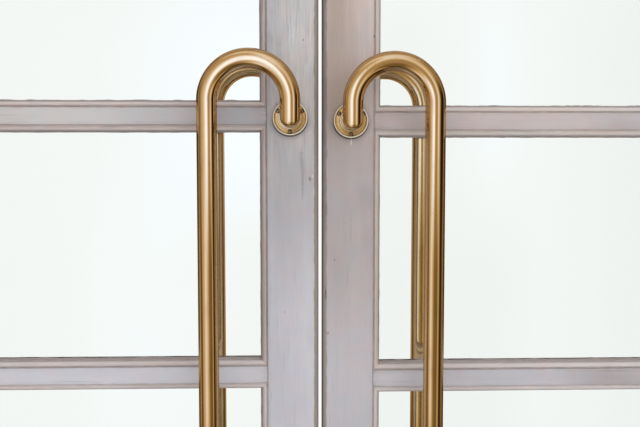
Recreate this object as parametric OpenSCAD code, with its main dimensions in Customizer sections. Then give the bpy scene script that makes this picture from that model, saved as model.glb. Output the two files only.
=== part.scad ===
// Pair of glazed swing doors in a timber frame, with long cane pull handles on both faces.
// Sizes are in millimetres. The doors are seen from outside looking along +Y, with +Z up.
// The origin is on the floor, midway between the jambs and in the middle of the frame's depth.

/* [Leaves] */
// Width of a leaf, from its meeting edge to its rounded heel
leaf_w = 800; // [700:5:1000]
// Thickness of a leaf
leaf_t = 45; // [40:1:56]
// Gap between the two leaves where they meet
meeting_gap = 6; // [5:0.5:10]
// Gap between a leaf's heel and its jamb
heel_gap = 5; // [5:0.5:10]
// Gap between a leaf's top and the head
head_gap = 6; // [5:0.5:10]
// Gap between a leaf's foot and the threshold
floor_gap = 8; // [5:0.5:14]

/* [Stiles and rails] */
// Face width of the meeting stile, with its glazing bead
meeting_stile_w = 93; // [80:1:130]
// Face width of the hanging stile, with its glazing bead
hanging_stile_w = 105; // [96:1:140]
// Face height of the top rail, with its glazing bead
top_rail_h = 95; // [70:1:160]
// Face height of the bottom rail, with its glazing bead
bottom_rail_h = 214; // [150:1:320]
// Face height of a glazing rail, with its two glazing beads
glazing_rail_h = 49; // [44:1:80]
// How much lower the glazing rails sit in the right leaf than in the left one
right_rail_drop = 8; // [0:1:30]
// Radius of the rounded edges where the leaves meet
nosing_r = 7; // [3:0.5:15]
// Length of a rail's tenons, into the stiles
tenon_l = 60; // [40:1:66]
// Thickness of a tenon
tenon_t = 15; // [10:1:18]
// How far a tenon stays below its rail's edge along a pane
tenon_shoulder = 3; // [1:0.5:5]
// How far the top and bottom rails' tenons stay from the leaf's own edge
tenon_haunch = 35; // [28:1:50]
// Clearance of a tenon in its mortise
mortise_gap = 0.2; // [0.1:0.1:0.5]

/* [Glazing] */
// Height of a pane between its beads, in the left leaf
pane_h = 369; // [260:1:460]
// Thickness of the glass
glass_t = 6; // [4:0.5:10]
// Gap between the glass and the timber round it
glass_edge_gap = 2; // [1:0.5:4]
// Width of a glazing bead
bead_w = 10.5; // [9.5:0.5:14]
// How far a bead lies below the face of the leaf
bead_set = 0.8; // [0:0.1:2]
// Width of the quirk between a bead and the timber
quirk_w = 2.2; // [1:0.1:3]
// Depth of the quirk below the face of the leaf
quirk_d = 4; // [2:0.5:6]
// Radius of the bead's ovolo moulding
ovolo_r = 6; // [4:0.1:7]
// Width of the fillet between the ovolo and the pane
fillet_w = 1.8; // [1:0.1:3]
// Depth of the fillet below the face of the leaf
fillet_d = 10; // [8:0.5:14]
// Hairline gap at a bead's mitred corners
mitre_gap = 0.3; // [0.2:0.1:0.8]

/* [Pull handles] */
// Outer diameter of the pull handle's tube
tube_d = 32; // [25:1:38]
// Distance from a leaf's face to the middle of the tube
pull_stand_off = 52; // [45:1:90]
// Distance between the middles of the grip and of the leg that carries it
hook_span = 127.5; // [90:0.5:200]
// Height of the hook's middle above the rose
hook_rise = 25; // [18:1:60]
// Distance between the top rose and the bottom rose
rose_spacing = 900; // [300:10:1200]
// How far the left leaf's top rose sits below the middle of its third glazing rail
rose_below_rail = 3; // [0:1:60]
// How much lower the pull handles sit on the right leaf than on the left one
right_pull_drop = 4; // [0:1:30]
// Distance from a rose's middle to the middle of the meeting gap
rose_inset = 48.5; // [42:0.5:60]

/* [Roses] */
// Diameter of a rose
rose_d = 55; // [50:1:64]
// Height of a rose's raised rim
rose_rim_h = 6; // [4:0.5:9]
// Width of a rose's raised rim
rose_rim_w = 1.6; // [1:0.1:3]
// Thickness of a rose's plate at the foot of its dish
rose_plate_t = 3; // [2:0.5:4]
// Height of the collar round the tube
collar_h = 8; // [5:0.5:12]
// Thickness of the collar round the tube
collar_t = 2; // [1.2:0.1:3]
// Radius of the collar's rounded edge
collar_edge_r = 1.2; // [0.5:0.1:1.8]
// Depth of the socket in which the tube's end sits
socket_h = 5; // [2.5:0.5:6]
// Clearance between the tube and its socket
socket_gap = 0.2; // [0.1:0.05:0.5]
// Diameter of a rose's screw holes
screw_hole_d = 3.6; // [3:0.1:5]
// Diameter of the countersink of a screw hole
screw_head_d = 6.2; // [5:0.1:7]

/* [Frame] */
// Thickness of a jamb and of the head
jamb_t = 45; // [35:1:80]
// Depth of the frame, through the wall
frame_d = 110; // [90:5:200]
// Thickness of the threshold
threshold_t = 20; // [15:1:40]
// Width and height of the bevels along the threshold's top edges
threshold_bevel = 7; // [2:1:12]
// Radius of the frame's rounded edges
arris_r = 3; // [1:0.5:6]

/* [Pivots] */
// Diameter of the floor spring's spindle
spindle_d = 18; // [12:1:20]
// Diameter of the pin at the top of a leaf
top_pin_d = 12; // [8:1:16]
// Clearance round a spindle or pin
pivot_gap = 0.3; // [0.2:0.05:0.6]
// Distance from a pivot plate's end to the leaf's heel
pivot_plate_set = 7; // [5:1:12]
// Metal left behind the end of a pivot plate's bore
bore_floor_t = 2; // [1:0.5:4]
// Gap between a spindle's or pin's end and the floor of its bore
bore_end_gap = 1; // [0.5:0.5:3]
// Length of a pivot plate let into a leaf
pivot_plate_l = 80; // [60:1:86]
// Width of a pivot plate let into a leaf
pivot_plate_w = 28; // [24:1:34]
// Thickness of a pivot plate let into a leaf
pivot_plate_t = 12; // [8:1:20]
// Length of a floor spring's cover plate
cover_l = 285; // [200:5:340]
// Width of a floor spring's cover plate
cover_w = 82; // [60:1:84]
// Thickness of a floor spring's cover plate
cover_t = 3; // [2:0.5:5]
// Length of the top pivot's plate let into the head
top_plate_l = 110; // [70:5:160]

/* [Hidden] */
$fn = 96;
pane_rows = 5;
// The glazing rail, counted from the bottom, that the top roses sit beside
handle_rail = 3;
screw_angles = [30, 150, 270];
// What a cut reaches past the face that it opens
past = 1;
pivot_x = meeting_gap / 2 + leaf_w - leaf_t / 2;
jamb_x = meeting_gap / 2 + leaf_w + heel_gap;
outer_x = jamb_x + jamb_t;
leaf_z = threshold_t + floor_gap;
rail_pitch = pane_h + glazing_rail_h;
leaf_h = bottom_rail_h + pane_rows * rail_pitch - glazing_rail_h + top_rail_h;
leaf_top_z = leaf_z + leaf_h;
head_z = leaf_top_z + head_gap;
// The timber openings that the beads line, a bead's width larger than the panes all round
opening_x0 = meeting_gap / 2 + meeting_stile_w - bead_w;
opening_x1 = meeting_gap / 2 + leaf_w - hanging_stile_w + bead_w;
opening_w = opening_x1 - opening_x0;
first_opening_z = leaf_z + bottom_rail_h - bead_w;
last_opening_z = leaf_top_z - top_rail_h + bead_w;
rail_timber_h = glazing_rail_h - 2 * bead_w;
// How deep a bead goes, from the leaf's face to the glass
bead_depth = (leaf_t - glass_t) / 2;
// Middle of the left leaf's top rose
left_rose_z = leaf_z + bottom_rail_h + handle_rail * rail_pitch - glazing_rail_h / 2 - rose_below_rail;
tube_r = tube_d / 2;
tube_y = -leaf_t / 2 - pull_stand_off;
hook_r = hook_span / 2;
// The rose's bore, the foot of its dish at the collar, and the dish's arc
socket_r = tube_r + socket_gap;
dish_x = socket_r + collar_t;
dish_w = rose_d / 2 - rose_rim_w - dish_x;
dish_h = rose_rim_h - rose_rim_w / 2 - rose_plate_t;
dish_r = (dish_w * dish_w + dish_h * dish_h) / (2 * dish_h);
// The screws stand midway across the dish, at the height that the dish has there
screw_r = dish_x + dish_w / 2;
screw_z = rose_plate_t + dish_r - sqrt(dish_r * dish_r - dish_w * dish_w / 4);
countersink_h = (screw_head_d - screw_hole_d) / 2;
bore_depth = pivot_plate_t - bore_floor_t;
spindle_h = floor_gap + bore_depth - bore_end_gap;
top_pin_h = head_gap + bore_depth - bore_end_gap;

// Foot of the timber opening of pane row i, counted from 0, in a leaf whose glazing rails sit drop lower
function opening_z0(i, drop) =
    i == 0 ? first_opening_z : first_opening_z + i * rail_pitch - drop;

// Top of the timber opening of pane row i
function opening_z1(i, drop) =
    i == pane_rows - 1 ? last_opening_z : opening_z0(i + 1, drop) - rail_timber_h;

// Foot and top of rail i, counted from 0 for the bottom rail to pane_rows for the top one
function rail_z0(i, drop) = i == 0 ? leaf_z : opening_z1(i - 1, drop);
function rail_z1(i, drop) = i == pane_rows ? leaf_top_z : opening_z0(i, drop);

// A leaf is drawn on the right of the meeting gap, and the left one is its mirror image.
module left_side() {
    mirror([1, 0, 0]) children();
}

module both_sides() {
    children();
    left_side() children();
}

module inside_face() {
    mirror([0, 1, 0]) children();
}

// Section of a jamb or of the head: x runs from its face, whose two edges are rounded, into the wall
module frame_section() {
    r = arris_r;
    translate([0, r - frame_d / 2]) square([jamb_t, frame_d - 2 * r]);
    translate([r, -frame_d / 2]) square([jamb_t - r, frame_d]);
    for (side = [-1, 1]) translate([r, side * (frame_d / 2 - r)]) circle(r);
}

// A piece of the frame over or under a jamb, with square edges
module frame_corner(z0, h) {
    translate([jamb_x, -frame_d / 2, z0]) cube([jamb_t, frame_d, h]);
}

// A floor spring's cover plate, let into the threshold from under the heel towards the meeting gap
module cover_plate(h) {
    translate([pivot_x + leaf_t / 2 - cover_l, -cover_w / 2, threshold_t - cover_t])
        cube([cover_l, cover_w, h]);
}

// A top centre's plate, let into the head
module top_plate(z0, h) {
    translate([pivot_x + leaf_t / 2 - top_plate_l, -pivot_plate_w / 2, z0])
        cube([top_plate_l, pivot_plate_w, h]);
}

// A pivot plate, let into the foot or the top of a hanging stile
module pivot_plate(z0, h) {
    translate([pivot_x + leaf_t / 2 - pivot_plate_set - pivot_plate_l, -pivot_plate_w / 2, z0])
        cube([pivot_plate_l, pivot_plate_w, h]);
}

module threshold() {
    b = threshold_bevel;
    d = frame_d / 2;
    color("rosybrown") difference() {
        union() {
            translate([-jamb_x, 0, 0]) rotate([90, 0, 90]) linear_extrude(height = 2 * jamb_x)
                polygon([
                    [-d, 0], [d, 0], [d, threshold_t - b], [d - b, threshold_t],
                    [b - d, threshold_t], [-d, threshold_t - b]
                ]);
            both_sides() frame_corner(0, threshold_t);
        }
        both_sides() cover_plate(cover_t + past);
    }
}

module jamb() {
    color("gainsboro") translate([jamb_x, 0, threshold_t])
        linear_extrude(height = head_z - threshold_t) frame_section();
}

module head() {
    color("gainsboro") difference() {
        union() {
            translate([jamb_x, 0, head_z]) rotate([0, -90, 0])
                linear_extrude(height = 2 * jamb_x) frame_section();
            both_sides() frame_corner(head_z, jamb_t);
        }
        both_sides() top_plate(head_z - past, cover_t + past);
    }
}

module floor_springs() {
    color("darkgoldenrod") both_sides() {
        cover_plate(cover_t);
        translate([pivot_x, 0, threshold_t - cover_t]) cylinder(d = spindle_d, h = cover_t + spindle_h);
    }
}

module top_centres() {
    color("darkgoldenrod") both_sides() {
        top_plate(head_z, cover_t);
        translate([pivot_x, 0, head_z - top_pin_h]) cylinder(d = top_pin_d, h = top_pin_h + cover_t);
    }
}

// The tenons of rail i in one bar through the rail, grown by grow where it cuts their mortises
module tenons(i, drop, grow) {
    z0 = rail_z0(i, drop) + (i == 0 ? tenon_haunch : tenon_shoulder) - grow;
    z1 = rail_z1(i, drop) - (i == pane_rows ? tenon_haunch : tenon_shoulder) + grow;
    translate([opening_x0 - tenon_l - grow, -tenon_t / 2 - grow, z0])
        cube([opening_w + 2 * (tenon_l + grow), tenon_t + 2 * grow, z1 - z0]);
}

module mortises(drop) {
    for (i = [0:pane_rows]) tenons(i, drop, mortise_gap);
}

module rail(i, drop) {
    translate([opening_x0, -leaf_t / 2, rail_z0(i, drop)])
        cube([opening_w, leaf_t, rail_z1(i, drop) - rail_z0(i, drop)]);
    tenons(i, drop, 0);
}

module meeting_stile(drop) {
    x0 = meeting_gap / 2;
    r = nosing_r;
    color("silver") difference() {
        translate([0, 0, leaf_z]) linear_extrude(height = leaf_h) union() {
            translate([x0 + r, -leaf_t / 2]) square([opening_x0 - x0 - r, leaf_t]);
            translate([x0, r - leaf_t / 2]) square([opening_x0 - x0, leaf_t - 2 * r]);
            for (side = [-1, 1]) translate([x0 + r, side * (leaf_t / 2 - r)]) circle(r);
        }
        mortises(drop);
    }
}

module hanging_stile(drop) {
    color("silver") difference() {
        translate([0, 0, leaf_z]) linear_extrude(height = leaf_h) union() {
            translate([opening_x1, -leaf_t / 2]) square([pivot_x - opening_x1, leaf_t]);
            translate([pivot_x, 0]) circle(leaf_t / 2);
        }
        mortises(drop);
        pivot_plate(leaf_z - past, pivot_plate_t + past);
        pivot_plate(leaf_top_z - pivot_plate_t, pivot_plate_t + past);
    }
}

module bottom_rail() {
    color("silver") rail(0, 0);
}

module top_rail() {
    color("silver") rail(pane_rows, 0);
}

// Glazing rail i, counted from 1 at the bottom
module glazing_rail(i, drop) {
    color("silver") rail(i, drop);
}

module glass(drop) {
    g = glass_edge_gap;
    color("lightcyan", 0.4) for (i = [0:pane_rows - 1])
        translate([opening_x0 + g, -glass_t / 2, opening_z0(i, drop) + g])
            cube([opening_w - 2 * g, glass_t, opening_z1(i, drop) - opening_z0(i, drop) - 2 * g]);
}

// Section of a bead: x runs from the timber to the pane, y from the leaf's face in to the glass
module bead_section() {
    round_x = bead_w - fillet_w - ovolo_r;
    difference() {
        union() {
            translate([0, bead_set]) square([round_x, bead_depth - bead_set]);
            translate([0, bead_set + ovolo_r]) square([round_x + ovolo_r, bead_depth - bead_set - ovolo_r]);
            intersection() {
                translate([round_x, bead_set + ovolo_r]) circle(ovolo_r);
                translate([round_x, bead_set]) square(ovolo_r);
            }
            translate([0, fillet_d]) square([bead_w, bead_depth - fillet_d]);
        }
        translate([-past, -past]) square([quirk_w + past, quirk_d + past]);
    }
}

// A length of bead along +X, mitred at both ends, with its back on z = 0
module bead_length(length) {
    g = mitre_gap / 2;
    intersection() {
        translate([0, -leaf_t / 2, 0]) rotate([90, 0, 90]) linear_extrude(height = length)
            mirror([1, -1]) bead_section();
        translate([0, leaf_t, 0]) rotate([90, 0, 0]) linear_extrude(height = 2 * leaf_t)
            polygon([[g, 0], [length - g, 0], [length - bead_w - g, bead_w], [bead_w + g, bead_w]]);
    }
}

module bead_frame(w, h) {
    bead_length(w);
    translate([w, 0, h]) rotate([0, 180, 0]) bead_length(w);
    translate([0, 0, h]) rotate([0, 90, 0]) bead_length(h);
    translate([w, 0, 0]) rotate([0, -90, 0]) bead_length(h);
}

module beads(drop) {
    color("lightgray") for (i = [0:pane_rows - 1])
        translate([opening_x0, 0, opening_z0(i, drop)])
            bead_frame(opening_w, opening_z1(i, drop) - opening_z0(i, drop));
}

// One side of the elbow's mitre: what lies within points, across the tube, with y and z as its axes
module mitre_side(points) {
    translate([-tube_d, 0, 0]) rotate([90, 0, 90]) linear_extrude(height = 2 * tube_d) polygon(points);
}

// The arm from the rose's socket and the leg above it, joined by a mitre, about the tube's corner
module mitred_elbow() {
    arm = pull_stand_off - collar_h + socket_h;
    d = tube_d;
    intersection() {
        translate([0, -tube_r, 0]) rotate([-90, 0, 0]) cylinder(r = tube_r, h = arm + tube_r);
        mitre_side([[-d, -d], [arm + d, -d], [arm + d, d], [d, d]]);
    }
    intersection() {
        translate([0, 0, -tube_r]) cylinder(r = tube_r, h = hook_rise + tube_r);
        mitre_side([[-d, -d], [d, d], [d, hook_rise + d], [-d, hook_rise + d]]);
    }
}

module pull(drop) {
    top_z = left_rose_z - drop;
    foot_z = top_z - rose_spacing;
    color("goldenrod") translate([rose_inset, tube_y, 0]) union() {
        for (end = [0, 1]) translate([0, 0, end == 0 ? top_z : foot_z]) mirror([0, 0, end]) {
            mitred_elbow();
            translate([hook_r, 0, hook_rise]) rotate([90, 0, 0])
                rotate_extrude(angle = 180) translate([hook_r, 0]) circle(tube_r);
        }
        translate([hook_span, 0, foot_z - hook_rise]) cylinder(r = tube_r, h = rose_spacing + 2 * hook_rise);
    }
}

// Section of a turned rose: a rounded rim, a dish that is an arc, and a collar with a rounded edge
module rose_section() {
    rim_r = rose_rim_w / 2;
    difference() {
        square([rose_d / 2, rose_rim_h - rim_r]);
        translate([dish_x, rose_plate_t + dish_r]) circle(dish_r);
    }
    translate([rose_d / 2 - rim_r, rose_rim_h - rim_r]) circle(rim_r);
    square([dish_x, collar_h - collar_edge_r]);
    square([dish_x - collar_edge_r, collar_h]);
    translate([dish_x - collar_edge_r, collar_h - collar_edge_r]) circle(collar_edge_r);
}

module rose() {
    rotate([90, 0, 0]) difference() {
        rotate_extrude() rose_section();
        translate([0, 0, collar_h - socket_h]) cylinder(r = socket_r, h = socket_h + past);
        for (a = screw_angles) rotate([0, 0, a]) translate([screw_r, 0, 0]) {
            translate([0, 0, -past]) cylinder(d = screw_hole_d, h = rose_rim_h);
            translate([0, 0, screw_z - countersink_h])
                cylinder(d1 = screw_hole_d, d2 = screw_head_d, h = countersink_h);
            translate([0, 0, screw_z]) cylinder(d = screw_head_d, h = rose_rim_h);
        }
    }
}

module roses(drop) {
    top_z = left_rose_z - drop;
    color("gold") for (z = [top_z, top_z - rose_spacing])
        translate([rose_inset, -leaf_t / 2, z]) rose();
}

module bottom_pivot() {
    color("darkgray") difference() {
        pivot_plate(leaf_z, pivot_plate_t);
        translate([pivot_x, 0, leaf_z - past])
            cylinder(r = spindle_d / 2 + pivot_gap, h = bore_depth + past);
    }
}

module top_pivot() {
    color("darkgray") difference() {
        pivot_plate(leaf_top_z - pivot_plate_t, pivot_plate_t);
        translate([pivot_x, 0, leaf_top_z - bore_depth])
            cylinder(r = top_pin_d / 2 + pivot_gap, h = bore_depth + past);
    }
}

threshold();
left_side() jamb();  // left_jamb
jamb();  // right_jamb
head();
floor_springs();
top_centres();

left_side() meeting_stile(0);  // left_meeting_stile
left_side() hanging_stile(0);  // left_hanging_stile
left_side() top_rail();  // left_top_rail
left_side() bottom_rail();  // left_bottom_rail
left_side() glazing_rail(1, 0);  // left_glazing_rail_1
left_side() glazing_rail(2, 0);  // left_glazing_rail_2
left_side() glazing_rail(3, 0);  // left_glazing_rail_3
left_side() glazing_rail(4, 0);  // left_glazing_rail_4
left_side() glass(0);  // left_glass
left_side() beads(0);  // left_outside_beads
left_side() inside_face() beads(0);  // left_inside_beads
left_side() pull(0);  // left_outside_pull
left_side() inside_face() pull(0);  // left_inside_pull
left_side() roses(0);  // left_outside_roses
left_side() inside_face() roses(0);  // left_inside_roses
left_side() bottom_pivot();  // left_bottom_pivot
left_side() top_pivot();  // left_top_pivot

meeting_stile(right_rail_drop);  // right_meeting_stile
hanging_stile(right_rail_drop);  // right_hanging_stile
top_rail();  // right_top_rail
bottom_rail();  // right_bottom_rail
glazing_rail(1, right_rail_drop);  // right_glazing_rail_1
glazing_rail(2, right_rail_drop);  // right_glazing_rail_2
glazing_rail(3, right_rail_drop);  // right_glazing_rail_3
glazing_rail(4, right_rail_drop);  // right_glazing_rail_4
glass(right_rail_drop);  // right_glass
beads(right_rail_drop);  // right_outside_beads
inside_face() beads(right_rail_drop);  // right_inside_beads
pull(right_pull_drop);  // right_outside_pull
inside_face() pull(right_pull_drop);  // right_inside_pull
roses(right_pull_drop);  // right_outside_roses
inside_face() roses(right_pull_drop);  // right_inside_roses
bottom_pivot();  // right_bottom_pivot
top_pivot();  // right_top_pivot
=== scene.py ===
"""Looks of a pair of glazed timber swing doors with long brass pull handles.

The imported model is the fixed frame. This script gives its glass, metal and hardwood their finishes, and makes
the painted timber, the moulded beads, the handles' tubes and the turned roses as finer surfaces in the same
places.
"""

import math

import bpy
import numpy as np
from bpy.props import FloatProperty, FloatVectorProperty, IntProperty, PointerProperty
from bpy.types import Operator, Panel, PropertyGroup
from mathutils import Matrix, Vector


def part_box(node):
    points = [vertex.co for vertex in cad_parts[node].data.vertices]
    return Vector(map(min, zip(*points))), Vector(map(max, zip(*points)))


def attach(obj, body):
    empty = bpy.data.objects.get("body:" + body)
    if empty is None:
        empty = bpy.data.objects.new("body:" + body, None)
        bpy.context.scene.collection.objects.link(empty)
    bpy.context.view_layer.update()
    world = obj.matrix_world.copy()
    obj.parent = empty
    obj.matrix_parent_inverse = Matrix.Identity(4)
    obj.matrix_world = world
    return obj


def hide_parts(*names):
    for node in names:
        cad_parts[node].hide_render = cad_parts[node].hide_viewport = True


bl_info = {
    "name": "Glazed swing doors",
    "version": (1, 0, 0),
    "blender": (4, 5, 0),
    "location": "View3D > Sidebar > Doors",
    "description": "Finishes a pair of painted, glazed swing doors and their brass pull handles",
    "category": "Object",
}

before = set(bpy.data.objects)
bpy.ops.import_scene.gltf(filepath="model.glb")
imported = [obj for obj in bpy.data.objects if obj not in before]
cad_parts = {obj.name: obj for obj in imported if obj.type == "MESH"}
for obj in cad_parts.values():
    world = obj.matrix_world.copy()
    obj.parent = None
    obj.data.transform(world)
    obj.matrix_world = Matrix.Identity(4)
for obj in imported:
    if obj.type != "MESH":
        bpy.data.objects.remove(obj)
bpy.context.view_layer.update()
MM = 0.001
# Which way each side and each face lies from the middle of the doors
SIDES = {"left": -1, "right": 1}
FACES = {"outside": -1, "inside": 1}
RAILS = ("bottom_rail", "glazing_rail_1", "glazing_rail_2", "glazing_rail_3", "glazing_rail_4", "top_rail")
# Names of the attributes that the painted and the brass pieces carry for their materials
LAY, CREVICE, NOSE = "lay", "crevice", "nose"
# What a distance to a crevice or to an edge reads where there is none
FAR = 0.05

# Points closer than this are joined
WELD = 0.001 * MM
# How far from its edges, in millimetres, a flat face has rows of points, and how far apart the others are
NEAR_EDGE = (0.0, 1.0, 2.5, 5.0, 9.0)
FLAT_STEP = 12 * MM
# Distance between two sections along a bar
BAR_STEP = 25 * MM
# Radius of a leaf's rounded heel, as a share of half its thickness
HEEL_ROUND = 0.999
# Radius of the frame's edges against the wall, as a share of that of its other edges
WALL_ARRIS = 0.2
# How close to a bead's mitre its nearest section stands
MITRE = 0.4 * MM
# How far old paint has filled the quirk over a pane, as a share
TOP_FILLED = 0.80
# How much further the dirt stays from the foot of a quirk that is full of paint
FILLED_CREVICE = 1.3 * MM
# Sections along a grip, and along the eased corner of an elbow
GRIP_STEPS, ELBOW_STEPS = 25, 6
# The fine line turned into a rose's dish: its place and width as shares of the dish, and its depth
LINE_PLACE, LINE_WIDTH, LINE_DEPTH = 0.62, 0.05, 0.25 * MM
# The screws: their angles round a rose, the depth of their recesses, and the heights of a head's dome, of its
# slot's floor and of its hidden foot
SCREW_TURNS = (math.radians(30), math.radians(150), math.radians(270))
RECESS, DOME, SLOT_FLOOR, HEAD_FOOT = 1.1 * MM, 0.35 * MM, -0.6 * MM, -0.9 * MM

# Distance from the middle of the doors at which the tones of the meeting stiles' paint end
STILE_END = 92 * MM
# How far from the leaves' outer face a spot reaches
SPOT_DEPTH = 7 * MM
# Marks on the outside of the meeting stiles: x, z, half width and half height in metres, and strength
PITS = (
    (0.0228, 1.2406, 0.0016, 0.0016, 0.75), (-0.0576, 1.1563, 0.0018, 0.0014, 0.6),
    (0.0122, 1.1214, 0.0016, 0.0018, 0.8), (-0.0269, 1.5912, 0.0014, 0.0018, 0.7),
    (-0.0168, 1.3713, 0.0026, 0.0040, 0.55), (0.0856, 1.5972, 0.0018, 0.0034, 0.8),
    (0.0085, 1.1860, 0.0018, 0.0130, 0.8), (-0.0288, 1.3770, 0.0030, 0.0460, 0.32),
    (-0.0298, 1.4020, 0.0036, 0.0200, 0.30), (-0.0700, 1.4900, 0.0012, 0.0060, 0.45),
    (0.0400, 1.3000, 0.0016, 0.0012, 0.4),
)
SPECKS = (
    (-0.0178, 1.4446, 0.0016, 0.0012, 0.8), (-0.0130, 1.3760, 0.0014, 0.0030, 0.6),
    (0.0491, 1.4300, 0.0012, 0.0070, 0.7),
)
# What the paint's colour is multiplied by in its warmer and in its cooler blotches
WARM_BLOTCH, COOL_BLOTCH = (1.015, 0.985, 0.99), (0.975, 1.0, 1.025)

# The made-up surround that polished metal shows: how bright it is at each angle round the doors, in
# degrees from straight in front of the outside face and rising to the right of someone who looks at it,
# at three heights
LOW_BANDS = (
    (-180, 0.50), (-166, 0.30), (-150, 0.90), (-134, 0.16), (-118, 0.05), (-101, 0.36), (-86, 0.38),
    (-78, 0.13), (-66, 0.16), (-57, 0.52), (-42, 0.66), (-36, 0.96), (-26, 0.96), (-18, 0.76), (-7, 0.52),
    (0, 0.34), (7, 0.22), (33, 0.17), (41, 0.56), (48, 0.42), (54, 0.10), (62, 0.02), (70, 0.03), (79, 0.22),
    (90, 0.15), (105, 0.10), (128, 0.18), (146, 0.85), (164, 0.32), (180, 0.50),
)
EYE_BANDS = (
    (-180, 0.80), (-164, 0.46), (-148, 1.30), (-136, 0.22), (-128, 0.04), (-104, 0.06), (-84, 0.18),
    (-66, 0.38), (-52, 0.62), (-38, 0.74), (-29, 1.00), (-17, 1.45), (-8, 1.50), (0, 0.80), (8, 0.45),
    (18, 0.36), (26, 0.62), (33, 1.05), (40, 0.72), (48, 0.36), (55, 0.04), (72, 0.01), (88, 0.12),
    (108, 0.16), (128, 0.28), (146, 1.30), (162, 0.50), (180, 0.80),
)
HIGH_BANDS = (
    (-180, 0.85), (-120, 0.28), (-90, 0.34), (-60, 0.46), (-35, 0.52), (-12, 0.56), (6, 0.98), (24, 0.90),
    (46, 0.60), (66, 0.34), (100, 0.28), (180, 0.85),
)
# How a direction becomes a place on that surround, for reflections that miss it
DIRECTION_SCALE, DIRECTION_LIFT = (1.0, 1.0, 0.9), (0.0, 0.0, 1.25)
# The soft key light: its width and height, where it stands and what it points at
KEY_SIZE, KEY_PLACE, KEY_AIM = (3.6, 3.0), (2.3, -2.6, 2.6), (0.0, 0.0, 1.3)


def metres(name, description, default):
    """A length."""
    return FloatProperty(name=name, description=description, default=default, unit="LENGTH")


def plain(name, description, default, **limits):
    """A number without a unit."""
    return FloatProperty(name=name, description=description, default=default, **limits)


def whole(name, description, default):
    """A whole number."""
    return IntProperty(name=name, description=description, default=default)


def degrees(name, description, default):
    """An angle, given in degrees."""
    return FloatProperty(name=name, description=description, default=math.radians(default), subtype="ANGLE")


def tint(name, description, *default):
    """A colour, given as linear red, green and blue."""
    return FloatVectorProperty(name=name, description=description, default=default, subtype="COLOR")


class TimberSizes(PropertyGroup):
    """Sizes of the painted timber that the frame's boxes don't give"""

    arris: metres("Arris", "Radius of a painted edge", 0.9 * MM)
    nosing: metres("Nosing", "Radius of the edges where the leaves meet", 7 * MM)
    frame_arris: metres("Frame arris", "Radius of the frame's edges", 3 * MM)
    joint: metres("Joint", "How far a rail's end is eased at its joint", 0.4 * MM)


class BeadSizes(PropertyGroup):
    """Section of the glazing beads"""

    width: metres("Width", "From the timber to the pane", 10.5 * MM)
    set_back: metres("Set back", "Below the leaf's face", 0.8 * MM)
    quirk: metres("Quirk", "Width of the quirk", 2.2 * MM)
    quirk_depth: metres("Quirk depth", "Depth of the quirk below the leaf's face", 4 * MM)
    ovolo: metres("Ovolo", "Radius of the moulding", 6 * MM)
    fillet: metres("Fillet", "Width of the fillet", 1.8 * MM)
    fillet_depth: metres("Fillet depth", "Depth of the fillet below the leaf's face", 10 * MM)
    putty: metres("Putty", "Width of the putty line on the glass", 1.3 * MM)
    waviness: metres("Waviness", "How uneven old paint has left the moulding", 0.22 * MM)
    filled: plain("Filled", "How far old paint has filled the quirk, as a share", 0.5, min=0.0, max=0.9)
    spacing: metres("Spacing", "Distance between two sections along a bead", 5 * MM)


class HandleSizes(PropertyGroup):
    """Sizes of the pull handles that the frame's boxes don't give"""

    tube_diameter: metres("Tube diameter", "Outer diameter of the handles' tube", 32 * MM)
    elbow: metres("Elbow", "Radius that eases the elbows' outer corner", 8 * MM)
    around: whole("Around", "Points round the tube", 80)
    along_bend: whole("Along a bend", "Sections along a half-round hook", 72)


class RoseSizes(PropertyGroup):
    """Section of a turned rose and of its screws"""

    rim_height: metres("Rim height", "Height of the rim", 6 * MM)
    rim_width: metres("Rim width", "Width of the rim", 2.0 * MM)
    plate: metres("Plate", "Thickness at the dish's foot", 3 * MM)
    dish: metres("Dish", "Height of the dish beside the rim", 5.2 * MM)
    collar: metres("Collar", "Thickness of the collar", 2 * MM)
    collar_edge: metres("Collar edge", "Radius of the collar's edge", 1.2 * MM)
    socket: metres("Socket", "Depth of the tube's socket", 5 * MM)
    socket_gap: metres("Socket gap", "Clearance round the tube", 0.2 * MM)
    screw_head: metres("Screw head", "Diameter of a screw's head", 6 * MM)
    slot: metres("Slot", "Width of a screw's slot", 0.9 * MM)


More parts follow.
